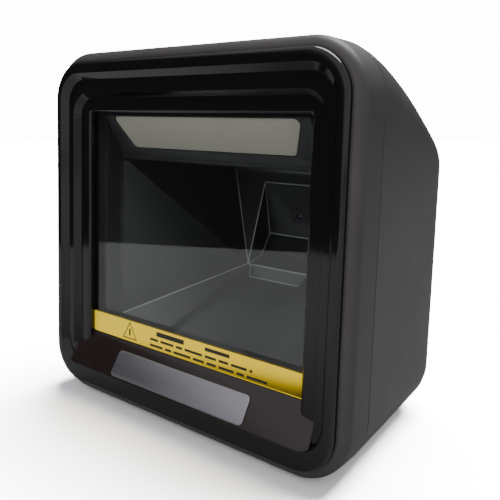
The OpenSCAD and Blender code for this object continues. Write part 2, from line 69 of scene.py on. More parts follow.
# %% Place the camera
camera_data = bpy.data.cameras.new("camera")
camera = bpy.data.objects.new("camera", camera_data)
bpy.context.scene.collection.objects.link(camera)
turn, tip, lean = math.radians(38.49), math.radians(6.64), math.radians(1.5)
aim = (Matrix.Rotation(turn, 4, "Z") @ Matrix.Rotation(math.pi / 2 - tip, 4, "X")
       @ Matrix.Rotation(lean, 4, "Z"))
camera.matrix_world = Matrix.Translation((0.1563, -0.2156, 0.1171)) @ aim
camera_data.sensor_width = 36
camera_data.lens = 44.58
camera_data.shift_x = 0.0518
camera_data.shift_y = -0.0995
camera_data.clip_start = 0.01
bpy.context.scene.camera = camera
print("camera at", [round(v, 3) for v in camera.location])

# %% [markdown]
# ## Working in drawing millimetres
#
# The maker's drawing measures depth back from the front frame's face and height up from the
# housing's underside. One function turns such a point into the shared frame in metres. The
# two offsets are read from the CAD boxes.

# %% Drawing coordinates
MM = 0.001
FACE_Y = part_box("front_frame")[0].y
UNDER_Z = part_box("front_frame")[0].z


def place(x, y, z):
    """A point of the drawing, in millimetres, as metres in the shared frame."""
    return Vector((x * MM, y * MM + FACE_Y, z * MM + UNDER_Z))


def fresh():
    """Leaves nothing selected, so that an operator touches only what comes next."""
    if bpy.context.mode != "OBJECT":
        bpy.ops.object.mode_set(mode="OBJECT")
    bpy.ops.object.select_all(action="DESELECT")


print("front face at y", round(FACE_Y, 4), "and underside at z", round(UNDER_Z, 4))

# %% [markdown]
# ## Adding nodes and colours
#
# A colour is written as it would be picked on a screen, in sRGB hex, and turned to the linear
# numbers that the shader works with. One small function adds a node with its settings and
# links, so that each material below reads as a short recipe.

# %% Colour and node helpers


def linear(hex_colour):
    """An sRGB hex colour as linear red, green, blue and 1."""
    parts = [int(hex_colour[i:i + 2], 16) / 255 for i in (1, 3, 5)]
    return tuple(c / 12.92 if c <= 0.04045 else ((c + 0.055) / 1.055) ** 2.4 for c in parts) + (1,)


def add(tree, kind, settings=None, **inputs):
    """Adds a node. settings are its own values, and inputs are numbers, colours or links."""
    node = tree.nodes.new(kind)
    for key, value in (settings or {}).items():
        setattr(node, key, value)
    for key, value in inputs.items():
        socket = node.inputs[int(key[1:])] if key[0] == "i" and key[1:].isdigit() \
            else node.inputs[key.replace("_", " ")]
        if isinstance(value, bpy.types.NodeSocket):
            tree.links.new(value, socket)
        else:
            socket.default_value = value
    return node


def new_material(name):
    """An empty material, with its node tree and its output node."""
    material = bpy.data.materials.new(name)
    material.use_nodes = True
    material.node_tree.nodes.clear()
    return material, material.node_tree, add(material.node_tree, "ShaderNodeOutputMaterial")


print("helpers are ready")

# %% [markdown]
# ## Moulded plastics
#
# Most of the scanner is injection-moulded plastic. The mould's steel is spark-eroded, which
# prints a fine pebble grain on the part: soft highlights with a slight sparkle. One recipe
# covers all of them. Only the colour, the roughness and the grain's size change. Grain finer
# than about 0.4 mm wouldn't show, so the real 0.1 mm grain is drawn coarser.

# %% Moulded plastic recipe


def moulded(name, dark, light, rough, grain_mm=0.45, depth_mm=0.012, patch_mm=18):
    """Grained plastic: two close shades in slow patches, roughness that varies, fine bumps."""
    material, tree, out = new_material(name)
    where = add(tree, "ShaderNodeTexCoord").outputs["Object"]
    patch = add(tree, "ShaderNodeTexNoise", Vector=where, Scale=1 / (patch_mm * MM), Detail=3.0)
    grain = add(tree, "ShaderNodeTexNoise", Vector=where, Scale=1 / (grain_mm * MM), Detail=2.0,
                Roughness=0.6)
    both = add(tree, "ShaderNodeMath", {"operation": "MULTIPLY_ADD"}, i0=grain.outputs["Fac"],
               i1=0.45, i2=patch.outputs["Fac"])
    tone = add(tree, "ShaderNodeMapRange", Value=both.outputs[0], From_Min=0.45, From_Max=1.0)
    colour = add(tree, "ShaderNodeMix", {"data_type": "RGBA"}, i0=tone.outputs[0],
                 i6=linear(dark), i7=linear(light))
    gloss = add(tree, "ShaderNodeMapRange", Value=both.outputs[0], From_Min=0.4, From_Max=1.0,
                To_Min=rough - 0.05, To_Max=rough + 0.05)
    bump = add(tree, "ShaderNodeBump", Strength=0.5, Distance=depth_mm * MM,
               Height=grain.outputs["Fac"])
    shader = add(tree, "ShaderNodeBsdfPrincipled", Base_Color=colour.outputs[2],
                 Roughness=gloss.outputs[0], Normal=bump.outputs[0], IOR=1.5)
    tree.links.new(shader.outputs[0], out.inputs["Surface"])
    return material


housing_abs = moulded("spark_eroded_grey_abs", "#302d2d", "#393636", 0.5)
chamber_abs = moulded("matte_black_abs", "#303032", "#3a3a3c", 0.36, depth_mm=0.006)
# The crease beads are far paler than the chamber's plastic: a painted highlight for the glint on
# its radii.
painted_highlight = moulded("painted_highlight_mould_radius", "#7a7a7e", "#88888c", 0.28, depth_mm=0.002)
feet_rubber = moulded("soft_black_rubber", "#1a1a1a", "#232322", 0.75, 0.6, 0.02)
foam_black = moulded("black_foam", "#0d0d0d", "#161616", 0.9, 0.6, 0.05)
white_abs = moulded("white_reflector_abs", "#e2e1dc", "#eceae6", 0.4, depth_mm=0.004)
nylon_socket = moulded("natural_nylon", "#cfc6b2", "#dcd4c2", 0.42, depth_mm=0.004)
nylon_black = moulded("black_glass_nylon", "#1d1d1e", "#28282a", 0.42, 0.5, 0.01)
epoxy_black = moulded("black_chip_epoxy", "#1b1b1d", "#242426", 0.55, 0.4, 0.006)
silicone = moulded("milky_silicone", "#c9c9c2", "#d6d6cf", 0.45, 0.8, 0.006)
opal_sheet = moulded("opal_diffuser_sheet", "#a29c91", "#a8a297", 0.42, 0.5, 0.002, 30)
phosphor = moulded("yellow_led_phosphor", "#e2c24a", "#ecd06a", 0.3, 0.4, 0.002)
black_ink = moulded("black_print_ink", "#191816", "#22211e", 0.45, 0.4, 0.001)
film_yellow = moulded("printed_yellow_film", "#f4cc14", "#f8d61c", 0.34, 0.5, 0.001, 26)
film_silver = moulded("blank_polyester_label", "#c4c5c6", "#d0d1d2", 0.3, 0.5, 0.002)
print("moulded plastics:", len(bpy.data.materials))

# %% [markdown]
# ## Polished black
#
# The bezel is moulded in a mirror-polished mould. It has no grain. Its reflections waver a
# little, because thick plastic shrinks unevenly, and handling leaves a faint haze. So the
# bump is wide and very shallow, and only the roughness has fine detail.

# %% Polished bezel black


def polished(name, colour, haze_low, haze_high):
    """Mirror-polished plastic: slow waves in the surface and a faint uneven haze."""
    material, tree, out = new_material(name)
    where = add(tree, "ShaderNodeTexCoord").outputs["Object"]
    wave = add(tree, "ShaderNodeTexNoise", Vector=where, Scale=45.0, Detail=0.0)
    wipe = add(tree, "ShaderNodeTexNoise", Vector=where, Scale=160.0, Detail=6.0, Roughness=0.7)
    haze = add(tree, "ShaderNodeMapRange", Value=wipe.outputs["Fac"], From_Min=0.35,
               From_Max=0.75, To_Min=haze_low, To_Max=haze_high)
    bump = add(tree, "ShaderNodeBump", Strength=0.25, Distance=0.00006,
               Height=wave.outputs["Fac"])
    shader = add(tree, "ShaderNodeBsdfPrincipled", Base_Color=linear(colour), IOR=1.5,
                 Roughness=haze.outputs[0], Normal=bump.outputs[0])
    tree.links.new(shader.outputs[0], out.inputs["Surface"])
    return material


bezel_black = polished("polished_black_abs", "#0b0b0c", 0.05, 0.13)
ramp_black = polished("polished_brown_black", "#201817", 0.14, 0.26)
print("polished:", bezel_black.name, ramp_black.name)

# %% [markdown]
# ## Clear glass
#
# The window is a plate of float glass. Light passes it almost unbent, and each face mirrors
# four per cent head on, and more at a slant. A mix of a see-through and a mirror shader by
# Fresnel gives exactly that and lets the lamps light the chamber, which a refracting shader
# wouldn't without much noise. Light leaves the plate as it came, unbent, so the back face is
# given the inverse index, or it would mirror everything beyond a certain slant. A trace of
# dust keeps the mirror from being perfect.

# %% Window glass and coated lens
window_glass, tree, out = new_material("float_glass")
where = add(tree, "ShaderNodeTexCoord").outputs["Object"]
dust = add(tree, "ShaderNodeTexNoise", Vector=where, Scale=220.0, Detail=5.0)
haze = add(tree, "ShaderNodeMapRange", Value=dust.outputs["Fac"], From_Min=0.4, From_Max=0.8,
           To_Min=0.01, To_Max=0.05)
side = add(tree, "ShaderNodeNewGeometry")
into = add(tree, "ShaderNodeMapRange", Value=side.outputs["Backfacing"], To_Min=1.5,
           To_Max=1 / 1.5)
share = add(tree, "ShaderNodeFresnel", IOR=into.outputs[0])
clear = add(tree, "ShaderNodeBsdfTransparent", Color=linear("#f6f8f7"))
mirror = add(tree, "ShaderNodeBsdfGlossy", Color=linear("#ffffff"), Roughness=haze.outputs[0])
mixed = add(tree, "ShaderNodeMixShader", i0=share.outputs[0], i1=clear.outputs[0],
            i2=mirror.outputs[0])
tree.links.new(mixed.outputs[0], out.inputs["Surface"])

lens_coating, tree, out = new_material("coated_lens_glass")
where = add(tree, "ShaderNodeTexCoord").outputs["Object"]
stain = add(tree, "ShaderNodeTexNoise", Vector=where, Scale=900.0, Detail=2.0)
tint = add(tree, "ShaderNodeMix", {"data_type": "RGBA"}, i0=stain.outputs["Fac"],
           i6=linear("#0d1020"), i7=linear("#191a33"))
shader = add(tree, "ShaderNodeBsdfPrincipled", Base_Color=tint.outputs[2], Roughness=0.04,
             IOR=1.6, Coat_Weight=1.0, Coat_Roughness=0.03)
tree.links.new(shader.outputs[0], out.inputs["Surface"])
print("glass:", window_glass.name, lens_coating.name)

# %% [markdown]
# ## Metals
#
# The name plate is rolled aluminium, brushed along its length and then lacquered. Brushing
# leaves fine parallel scratches, so the noise is stretched along X, forty times longer than
# wide. Screws, springs and cans are plated or tinned steel with a faint mottle.

# %% Brushed plate and plated metals


def metal(name, dark, light, rough, stretch=(1.0, 1.0, 1.0), grain_mm=0.5):
    """Metal with a mottle, or with scratches where stretch is small along one axis."""
    material, tree, out = new_material(name)
    where = add(tree, "ShaderNodeTexCoord").outputs["Object"]
    run = add(tree, "ShaderNodeMapping", Vector=where, Scale=stretch)
    mark = add(tree, "ShaderNodeTexNoise", Vector=run.outputs[0], Scale=1 / (grain_mm * MM),
               Detail=3.0, Roughness=0.65)
    tint = add(tree, "ShaderNodeMix", {"data_type": "RGBA"}, i0=mark.outputs["Fac"],
               i6=linear(dark), i7=linear(light))
    gloss = add(tree, "ShaderNodeMapRange", Value=mark.outputs["Fac"], From_Min=0.3,
                From_Max=0.7, To_Min=rough - 0.06, To_Max=rough + 0.08)
    bump = add(tree, "ShaderNodeBump", Strength=0.3, Distance=0.000008,
               Height=mark.outputs["Fac"])
    shader = add(tree, "ShaderNodeBsdfPrincipled", Base_Color=tint.outputs[2], Metallic=1.0,
                 Roughness=gloss.outputs[0], Normal=bump.outputs[0])
    tree.links.new(shader.outputs[0], out.inputs["Surface"])
    return material


plate_metal = metal("brushed_silver_plate", "#9a999d", "#b2b1b6", 0.42, (0.025, 1.0, 1.0), 0.3)
zinc_steel = metal("zinc_plated_steel", "#a9abae", "#c2c4c6", 0.35)
tin_steel = metal("tin_plated_steel", "#b4b4b1", "#c9c9c5", 0.3, grain_mm=1.2)
turned_brass = metal("turned_brass", "#b98f45", "#d0a85c", 0.3, (1.0, 0.2, 1.0))
gold_plate = metal("gold_plate", "#d2a545", "#e3bb62", 0.22)
print("metals:", plate_metal.name, zinc_steel.name, tin_steel.name, turned_brass.name)

# %% [markdown]
# ## Boards and ribbons
#
# A circuit board is glass-epoxy under green solder mask. Copper tracks show through it as a
# slightly lighter pattern of straight runs. A brick pattern with long thin cells gives such
# runs. A ribbon cable is clear film over parallel tinned conductors, so it is striped at the
# conductors' pitch of 1 mm.

# %% Circuit board and ribbon film
board_mask, tree, out = new_material("green_solder_mask")
where = add(tree, "ShaderNodeTexCoord").outputs["Object"]
tracks = add(tree, "ShaderNodeTexBrick", {"offset": 0.37, "squash": 0.6, "squash_frequency": 3},
             Vector=where, Color1=linear("#0d4a2a"), Color2=linear("#115533"),
             Mortar=linear("#2b7a4b"), Scale=180.0, Mortar_Size=0.06, Brick_Width=1.9,
             Row_Height=0.42)
bump = add(tree, "ShaderNodeBump", Strength=0.4, Distance=0.00004, Height=tracks.outputs["Fac"])
shader = add(tree, "ShaderNodeBsdfPrincipled", Base_Color=tracks.outputs["Color"],
             Roughness=0.34, Normal=bump.outputs[0])
tree.links.new(shader.outputs[0], out.inputs["Surface"])

ribbon_film, tree, out = new_material("ribbon_cable_film")
where = add(tree, "ShaderNodeTexCoord").outputs["Object"]
lines = add(tree, "ShaderNodeTexWave", {"bands_direction": "X"}, Vector=where,
            Scale=314.0, Distortion=0.0)
film = add(tree, "ShaderNodeMix", {"data_type": "RGBA"}, i0=lines.outputs["Fac"],
           i6=linear("#b9b9b4"), i7=linear("#8f9092"))
shader = add(tree, "ShaderNodeBsdfPrincipled", Base_Color=film.outputs[2], Roughness=0.35)
tree.links.new(shader.outputs[0], out.inputs["Surface"])
print("boards and ribbons:", board_mask.name, ribbon_film.name)

# %% [markdown]
# ## Lofting with outlines
#
# Every shell of the scanner is a rounded rectangle that changes as it goes back. Scaling a
# whole outline would change its corner radii too. So each new outline is extruded from the
# last one, and then its four corners are scaled about their own centres and moved to their
# new places, one at a time. Bridging separate outlines is quicker to write, but it pairs
# the points of tight corners wrongly.

# %% Outline and loft helpers


def corner_centre(outline, right, top):
    """The centre of one corner's arc. An outline is half width, bottom, top, radius, depth."""
    hx, lo, hi, r, y = outline
    return place(hx - r if right else r - hx, y, hi - r if top else lo + r)


def next_outline(shell, old, new):
    """Extrudes the chosen loop and reshapes it from the old outline to the new one."""
    bpy.ops.mesh.extrude_region_move(TRANSFORM_OT_translate={"value": (0, 0, 0)})
    middle = place(0, 0, (old[1] + old[2]) / 2).z
    bm = bmesh.from_edit_mesh(shell.data)
    loop = [(v.index, v.co.x > 0, v.co.z > middle) for v in bm.verts if v.select]
    for right in (False, True):
        for top in (False, True):
            bpy.ops.mesh.select_all(action="DESELECT")
            bm = bmesh.from_edit_mesh(shell.data)
            bm.verts.ensure_lookup_table()
            for index, at_right, at_top in loop:
                bm.verts[index].select_set((at_right, at_top) == (right, top))
            centre, k = corner_centre(old, right, top), new[3] / old[3]
            bpy.ops.transform.resize(value=(k, 1, k), center_override=centre)
            bpy.ops.transform.translate(value=corner_centre(new, right, top) - centre)
    bm = bmesh.from_edit_mesh(shell.data)
    bm.verts.ensure_lookup_table()
    for index, _, _ in loop:
        bm.verts[index].select_set(True)
    bm.select_flush(True)
    bmesh.update_edit_mesh(shell.data)


def loft(name, outlines, steps=10, along=0, ends="open"):
    """A shell through outlines. ends is open, closed, back for the last one only, or ring."""
    fresh()
    hx, lo, hi, r, y = outlines[0]
    middle = place(0, y, (lo + hi) / 2)
    bpy.ops.mesh.primitive_plane_add(size=1, location=middle, rotation=(math.pi / 2, 0, 0))
    shell = bpy.context.object
    shell.name = shell.data.name = name
    shell.scale = (2 * hx * MM, (hi - lo) * MM, 1)
    bpy.ops.object.transform_apply(location=True, rotation=True, scale=True)
    bpy.ops.object.mode_set(mode="EDIT")
    bpy.ops.mesh.select_mode(type="VERT")
    bpy.ops.mesh.select_all(action="SELECT")
    bpy.ops.mesh.bevel(offset=r * MM, segments=steps, affect="VERTICES")
    bpy.ops.mesh.select_all(action="SELECT")
    if ends != "closed":
        bpy.ops.mesh.delete(type="ONLY_FACE")
        bpy.ops.mesh.select_all(action="SELECT")
    chain = list(outlines) + ([outlines[0]] if ends == "ring" else [])
    for old, new in zip(chain, chain[1:]):
        next_outline(shell, old, new)
    if ends == "back":
        bpy.ops.mesh.edge_face_add()
    if along:
        bm = bmesh.from_edit_mesh(shell.data)
        for edge in bm.edges:
            a, b = edge.verts[0].co, edge.verts[1].co
            edge.select_set(abs(a.y - b.y) < 1e-6 and (a - b).length > 6 * MM)
        bmesh.update_edit_mesh(shell.data)
        bpy.ops.mesh.select_mode(type="EDGE")
        bpy.ops.mesh.subdivide(number_cuts=along)
    bpy.ops.mesh.select_all(action="SELECT")
    if ends == "ring":
        bpy.ops.mesh.remove_doubles(threshold=0.0000005)
    bpy.ops.mesh.normals_make_consistent(inside=False)
    bpy.ops.object.mode_set(mode="OBJECT")
    return shell


def apply_all(piece):
    """Applies every modifier of a piece."""
    fresh()
    piece.select_set(True)
    bpy.context.view_layer.objects.active = piece
    for modifier in list(piece.modifiers):
        bpy.ops.object.modifier_apply(modifier=modifier.name)


def soften(piece, width, segments=2, corner=28, smooth=40):
    """Rounds a piece's edges by width millimetres and shades its smooth faces smoothly."""
    if width:
        edge = piece.modifiers.new("edge", "BEVEL")
        edge.width, edge.segments = width * MM, segments
        edge.limit_method, edge.angle_limit = "ANGLE", math.radians(corner)
    apply_all(piece)
    bpy.ops.object.shade_smooth_by_angle(angle=math.radians(smooth))
    return piece


def dress(piece, material, body="housing", node=None):
    """Gives a piece its material, its body and the node it stands for."""
    if material:
        piece.data.materials.clear()
        piece.data.materials.append(material)
    if node:
        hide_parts(*([node] if isinstance(node, str) else node))
    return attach(piece, body)


def round_over(r, steps, y0):
    """Steps round a quarter circle: how far in and how deep, from the front face outwards."""
    turns = [i * math.pi / 2 / steps for i in range(steps + 1)]
    return [(r * (1 - math.sin(a)), y0 + r * (1 - math.cos(a))) for a in turns]


print("loft helpers are ready")

# %% [markdown]
# ## The front frame
#
# The front frame is a grey ring of square section round the bezel. Its outer front edge has
# a 4 mm round, which catches the long highlight. Inside, it steps back to a wall that holds
# the glass and steps out again behind it. All of that is one closed chain of outlines. The
# last outline at the seam is drawn in by a third of a millimetre, and so is the rear cover's
# first, which makes the thin dark line between them.

# %% Front frame ring
HALF_W, BODY_H, CORNER_R, EDGE_R, SEAM_Y, WALL = 74.0, 146.0, 20.3, 4.0, 14.5, 2.4
front_face = round_over(EDGE_R, 9, 0)
ring_outside = [(HALF_W - i, i, BODY_H - i, CORNER_R - i, y) for i, y in front_face]
ring_inside = [
    (70.3, 3.7, 142.3, 15.8, 0.35), (70.3, 3.7, 142.3, 15.8, 9.3), (54.6, 25.2, 121.6, 1.0, 9.3),
    (54.6, 25.2, 121.6, 1.0, 11.5), (71.6, 2.4, 143.6, 17.9, 11.5), (71.6, 2.4, 143.6, 17.9, 14.5),
]
ring = loft("frame_ring", [(69.95 + 0.7, 3.35, 142.65, 16.15, 0.0)] + ring_outside + [
    (HALF_W, 0, BODY_H, CORNER_R, SEAM_Y - 0.35), (HALF_W - 0.3, 0.3, BODY_H - 0.3, 20.0, SEAM_Y),
] + ring_inside[::-1], steps=14, ends="ring")
soften(ring, 0)
print("front frame faces:", len(ring.data.polygons))

# %% [markdown]
# The frame's four hollow pillars run back to meet the rear cover's and hold a brass insert
# each. A pillar is a cylinder with its end face inset and pushed in. One function models each
# of the four, and they are joined to the ring.

# %% Frame pillars


def hollow_post(name, at, radius, bore, y0, y1, deep):
    """A post along Y with a blind hole in its back end, as deep as asked."""
    fresh()
    bpy.ops.mesh.primitive_cylinder_add(vertices=40, radius=radius * MM, depth=(y1 - y0) * MM,
                                        location=place(at[0], (y0 + y1) / 2, at[1]),
                                        rotation=(math.pi / 2, 0, 0))
    post = bpy.context.object
    post.name = name
    bpy.ops.object.transform_apply(location=True, rotation=True, scale=True)
    bpy.ops.object.mode_set(mode="EDIT")
    bpy.ops.mesh.select_mode(type="FACE")
    bpy.ops.mesh.select_all(action="DESELECT")
    bm = bmesh.from_edit_mesh(post.data)
    for face in bm.faces:
        face.select_set(face.normal.y > 0.9)
    bmesh.update_edit_mesh(post.data)
    bpy.ops.mesh.inset(thickness=(radius - bore) * MM)
    bpy.ops.mesh.extrude_region_move(TRANSFORM_OT_translate={"value": (0, -deep * MM, 0)})
    bpy.ops.object.mode_set(mode="OBJECT")
    return post


def join(main, others):
    """Joins other objects into the main one."""
    fresh()
    for one in others:
        one.select_set(True)
    main.select_set(True)
    bpy.context.view_layer.objects.active = main
    bpy.ops.object.join()
    return main


PILLARS = [(-62, 14), (62, 14), (-62, 108), (62, 108)]
posts = [hollow_post("pillar", at, 4.0, 2.2, 9.4, 56, 12) for at in PILLARS]
ring = join(ring, posts)
soften(ring, 0)
dress(ring, housing_abs, node="front_frame")
print("front frame with pillars:", len(ring.data.polygons), "faces")

# %% [markdown]
# ## The rear cover
#
# Behind the seam the sides close in evenly, and the top falls faster and faster until it
# runs into the round at the back. The outline is worked out at each depth from those two
# rules, closer together where the back rounds off. The open shell then gets its 2.4 mm wall.

# %% Rear cover shell
DEPTH, DRAFT, TOP_DROP, BACK_R, JOIN_A = 97.0, 0.075, 23.7, 22.0, math.radians(28)
turn_y = DEPTH - BACK_R
join_y = turn_y + BACK_R * math.sin(JOIN_A)
join_drop = TOP_DROP + BACK_R * (1 - math.cos(JOIN_A))
curve = math.tan(JOIN_A) * (join_y - SEAM_Y) / join_drop


def come_in(y):
    """How far the back's round has drawn the outline in at depth y."""
    return 0 if y <= turn_y else BACK_R - math.sqrt(max(0, BACK_R ** 2 - (y - turn_y) ** 2))


def top_at(y):
    """Height of the housing's top at depth y."""
    if y >= join_y:
        return BODY_H - TOP_DROP - come_in(y)
    return BODY_H - join_drop * (max(0, y - SEAM_Y) / (join_y - SEAM_Y)) ** curve


def housing_outline(y, inset=0.0):
    """The housing's outline at depth y."""
    i = inset + come_in(y)
    side = HALF_W - DRAFT * max(0, min(y, turn_y) - SEAM_Y)
    return (side - i, i, top_at(y) - inset if y < join_y else top_at(y) - inset,
            max(CORNER_R - i, 1.0), y)


depths = [SEAM_Y + 0.35 + (turn_y - SEAM_Y - 0.35) * k / 12 for k in range(13)]
depths += [turn_y + BACK_R * math.sin(math.radians(a))
           for a in (8, 16, 24, 32, 40, 48, 56, 64, 72, 80, 90)]
cover = loft("rear_shell", [housing_outline(SEAM_Y, 0.3)] + [housing_outline(y) for y in depths],
             steps=12, along=12, ends="back")
wall = cover.modifiers.new("wall", "SOLIDIFY")
wall.thickness, wall.offset = WALL * MM, -1
apply_all(cover)
print("rear cover shell faces:", len(cover.data.polygons))

# %% [markdown]
# Cutters open the shell for the scan button, the cable socket, the feet, the beeper's slots
# and the four screw wells. Each is a primitive at the place the drawing gives. They are
# joined, and one exact boolean cuts them all. The screws sit deep in pillars, which are
# united with the shell first and trimmed by the shell's own outer form.

# %% Rear cover pillars and openings
solid = loft("trim_form", [housing_outline(SEAM_Y + 1)] + [housing_outline(y) for y in depths[1:]],
             steps=12, ends="closed")


def block(name, x0, x1, y0, y1, z0, z1):
    """A box between those drawing planes."""
    fresh()
    bpy.ops.mesh.primitive_cube_add(size=1, location=place((x0 + x1) / 2, (y0 + y1) / 2,
                                                           (z0 + z1) / 2))
    box = bpy.context.object
    box.name = name
    box.scale = ((x1 - x0) * MM, (y1 - y0) * MM, (z1 - z0) * MM)
    bpy.ops.object.transform_apply(location=True, rotation=True, scale=True)
    return box


def rod(name, at, radius, start, end, axis="Y", points=40):
    """A rod along Y or Z, at its two other drawing coordinates."""
    fresh()
    middle = (start + end) / 2
    where = place(at[0], middle, at[1]) if axis == "Y" else place(at[0], at[1], middle)
    bpy.ops.mesh.primitive_cylinder_add(vertices=points, radius=radius * MM,
                                        depth=(end - start) * MM, location=where,
                                        rotation=(math.pi / 2 if axis == "Y" else 0, 0, 0))
    made = bpy.context.object
    made.name = name
    bpy.ops.object.transform_apply(location=True, rotation=True, scale=True)
    return made


def combine(piece, tool, operation):
    """One exact boolean, applied, and the tool removed."""
    cutting = piece.modifiers.new("cut", "BOOLEAN")
    cutting.operation, cutting.object, cutting.solver = operation, tool, "EXACT"
    cutting.use_self = True
    apply_all(piece)
    bpy.data.objects.remove(tool)
    return piece


pillars = join(rod("cover_pillar", PILLARS[0], 4.5, 56.2, DEPTH),
               [rod("cover_pillar", at, 4.5, 56.2, DEPTH) for at in PILLARS[1:]]
               + [rod("board_post", at, 3.0, 0.5, 16.4, "Z")
                  for at in [(-31, 40), (31, 40), (-31, 86), (31, 86)]]
               + [rod("button_post", (x, 23.5), 2.6, 133.2, BODY_H, "Z") for x in (-41, 41)])
combine(pillars, solid, "INTERSECT")
combine(cover, pillars, "UNION")

fresh()
bpy.ops.mesh.primitive_plane_add(size=1, location=place(0, 23.5, 138.5))
opening = bpy.context.object
opening.scale = (68.8 * MM, 13.8 * MM, 1)
bpy.ops.object.transform_apply(location=True, rotation=True, scale=True)
bpy.ops.object.mode_set(mode="EDIT")
bpy.ops.mesh.bevel(offset=3.4 * MM, segments=10, affect="VERTICES")
bpy.ops.mesh.select_all(action="SELECT")
bpy.ops.mesh.extrude_region_move(TRANSFORM_OT_translate={"value": (0, 0, 0.012)})
bpy.ops.mesh.select_all(action="SELECT")
bpy.ops.mesh.normals_make_consistent(inside=False)
bpy.ops.object.mode_set(mode="OBJECT")
cutters = [block("socket_way", -7.3, 7.3, 75, 100, 17.7, 30.3)]
cutters += [rod("screw_well", at, 3.1, 62, 99) for at in PILLARS]
cutters += [rod("screw_way", at, 1.7, 55, 63) for at in PILLARS]
cutters += [rod("foot_seat", at, 6.2, -1, 0.8, "Z", 64) for at in
            [(-40, 27), (40, 27), (-38, 70), (38, 70)]]
cutters += [block("sound_slot", 19.3 + 3 * k, 20.7 + 3 * k, 52, 64, -1, 3.4) for k in range(-3, 4)]
opening = join(opening, cutters)
combine(cover, opening, "DIFFERENCE")
soften(cover, 0, smooth=35)
dress(cover, housing_abs, node="rear_cover")
print("rear cover faces:", len(cover.data.polygons))

# %% [markdown]
# ## The bezel
#
# The bezel steps down to the glass: a flat land with a rounded outer edge, a slope, a second
# land, a steeper slope and a last slope that ends at the glass. The steps are wider at the
# top than at the sides, so each outline has its own width and top. Small edge rounds catch
# the thin bright lines that polished plastic shows.

# %% Bezel steps
land = round_over(1.6, 6, -2.6)
bezel_outline = [(70, 4, 142, 15.5, 9.1)]
bezel_outline += [(70 - i, 4 + i, 142 - i, 15.5 - i, y) for i, y in land[::-1]]
bezel_outline += [
    (66.6, 11.6, 137.2, 11, -2.6), (64.5, 11.6, 134.8, 10, 0.3), (61.6, 11.6, 129.2, 9, 0.3),
    (59.8, 11.6, 127.5, 8, 3.2), (59.2, 15.6, 126.8, 7, 3.2), (55.2, 15.6, 122.2, 1.5, 3.5),
    (54.4, 15.6, 121.4, 1, 4.1), (54.4, 25.4, 121.4, 1, 6.25), (57.1, 22.7, 124.1, 2, 6.25),
    (57.1, 22.7, 124.1, 2, 9.1),
]
bezel = loft("bezel_steps", bezel_outline, steps=12, ends="ring")
soften(bezel, 0.3, segments=3, corner=20, smooth=30)
dress(bezel, bezel_black, node="bezel")
print("bezel faces:", len(bezel.data.polygons))

# %% [markdown]
# The sloping panel under the window is a separate plate of the same plastic, with round
# upper corners. It is drawn flat, given its thickness and edge, and then tilted about its
# front edge to meet the glass.

# %% Sloping panel
RAMP_FOOT, RAMP_TILT, RAMP_L = (-2.6, 11.6), math.atan2(25.4 - 11.6, 6.1 + 2.6), 16.3
fresh()
bpy.ops.mesh.primitive_plane_add(size=1, location=(0, RAMP_L / 2 * MM, 0))
panel = bpy.context.object
panel.name = panel.data.name = "sloping_panel"
panel.scale = (122 * MM, RAMP_L * MM, 1)
bpy.ops.object.transform_apply(location=True, rotation=True, scale=True)
bpy.ops.object.mode_set(mode="EDIT")
bpy.ops.mesh.select_mode(type="VERT")
bm = bmesh.from_edit_mesh(panel.data)
for corner in bm.verts:
    corner.select_set(corner.co.y > RAMP_L / 2 * MM)
bmesh.update_edit_mesh(panel.data)
bpy.ops.mesh.bevel(offset=4.5 * MM, segments=12, affect="VERTICES")
bpy.ops.mesh.select_all(action="SELECT")
bpy.ops.mesh.extrude_region_move(TRANSFORM_OT_translate={"value": (0, 0, -3.5 * MM)})
bpy.ops.mesh.select_all(action="SELECT")
bpy.ops.mesh.normals_make_consistent(inside=False)
bpy.ops.object.mode_set(mode="OBJECT")
panel.matrix_world = Matrix.Translation(place(0, *RAMP_FOOT)) @ Matrix.Rotation(RAMP_TILT, 4, "X")
bpy.ops.object.transform_apply(location=True, rotation=True, scale=True)
soften(panel, 0.35, segments=3)
dress(panel, ramp_black)
print("sloping panel:", [round(v / MM, 1) for v in panel.dimensions])

# %% [markdown]
# ## Softened copies of CAD pieces
#
# Many small parts have the right shape in the CAD and only lack the tiny rounds of a real
# moulding or pressing. A copy of the node gets its loose triangles joined, its flat faces
# merged and its edges bevelled by a real radius. That is less work than a new model, and it
# keeps the fit exact.

# %% Soft copies


def soft_copy(node, name, width, material, body="housing", segments=2, corner=28, smooth=40):
    """A copy of a CAD node with joined faces and rounded edges, which stands for the node."""
    fresh()
    piece = bpy.data.objects.new(name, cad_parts[node].data.copy())
    bpy.context.scene.collection.objects.link(piece)
    piece.select_set(True)
    bpy.context.view_layer.objects.active = piece
    bpy.ops.object.mode_set(mode="EDIT")
    bpy.ops.mesh.select_all(action="SELECT")
    bpy.ops.mesh.remove_doubles(threshold=0.000002)
    bpy.ops.mesh.dissolve_limited(angle_limit=math.radians(0.4))
    bpy.ops.object.mode_set(mode="OBJECT")
    soften(piece, width, segments, corner, smooth)
    return dress(piece, material, body, node)


soft_copy("window_glass", "window_pane", 0, window_glass, smooth=20)
soft_copy("caution_strip", "warning_film", 0, film_yellow, smooth=20)
soft_copy("light_chamber", "chamber_shell", 0.8, chamber_abs, segments=4, corner=12)
soft_copy("lamp_frame", "lamp_bezel", 0.25, nylon_black)
soft_copy("lamp_diffuser", "diffuser_sheet", 0.25, opal_sheet)
soft_copy("name_plate", "silver_plate", 0.18, plate_metal)
soft_copy("scan_button", "button_cap", 0.25, housing_abs, body="button", corner=35)
soft_copy("rubber_feet", "feet", 0.2, feet_rubber)
soft_copy("cable_socket", "socket_body", 0.2, nylon_black)
soft_copy("lens_barrel", "barrel", 0.08, chamber_abs)
soft_copy("lens_glass", "front_lens", 0, lens_coating)
soft_copy("cover_screws", "housing_screws", 0.1, zinc_steel)
domes = soft_copy("button_domes", "domes", 0.1, silicone)
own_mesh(domes)
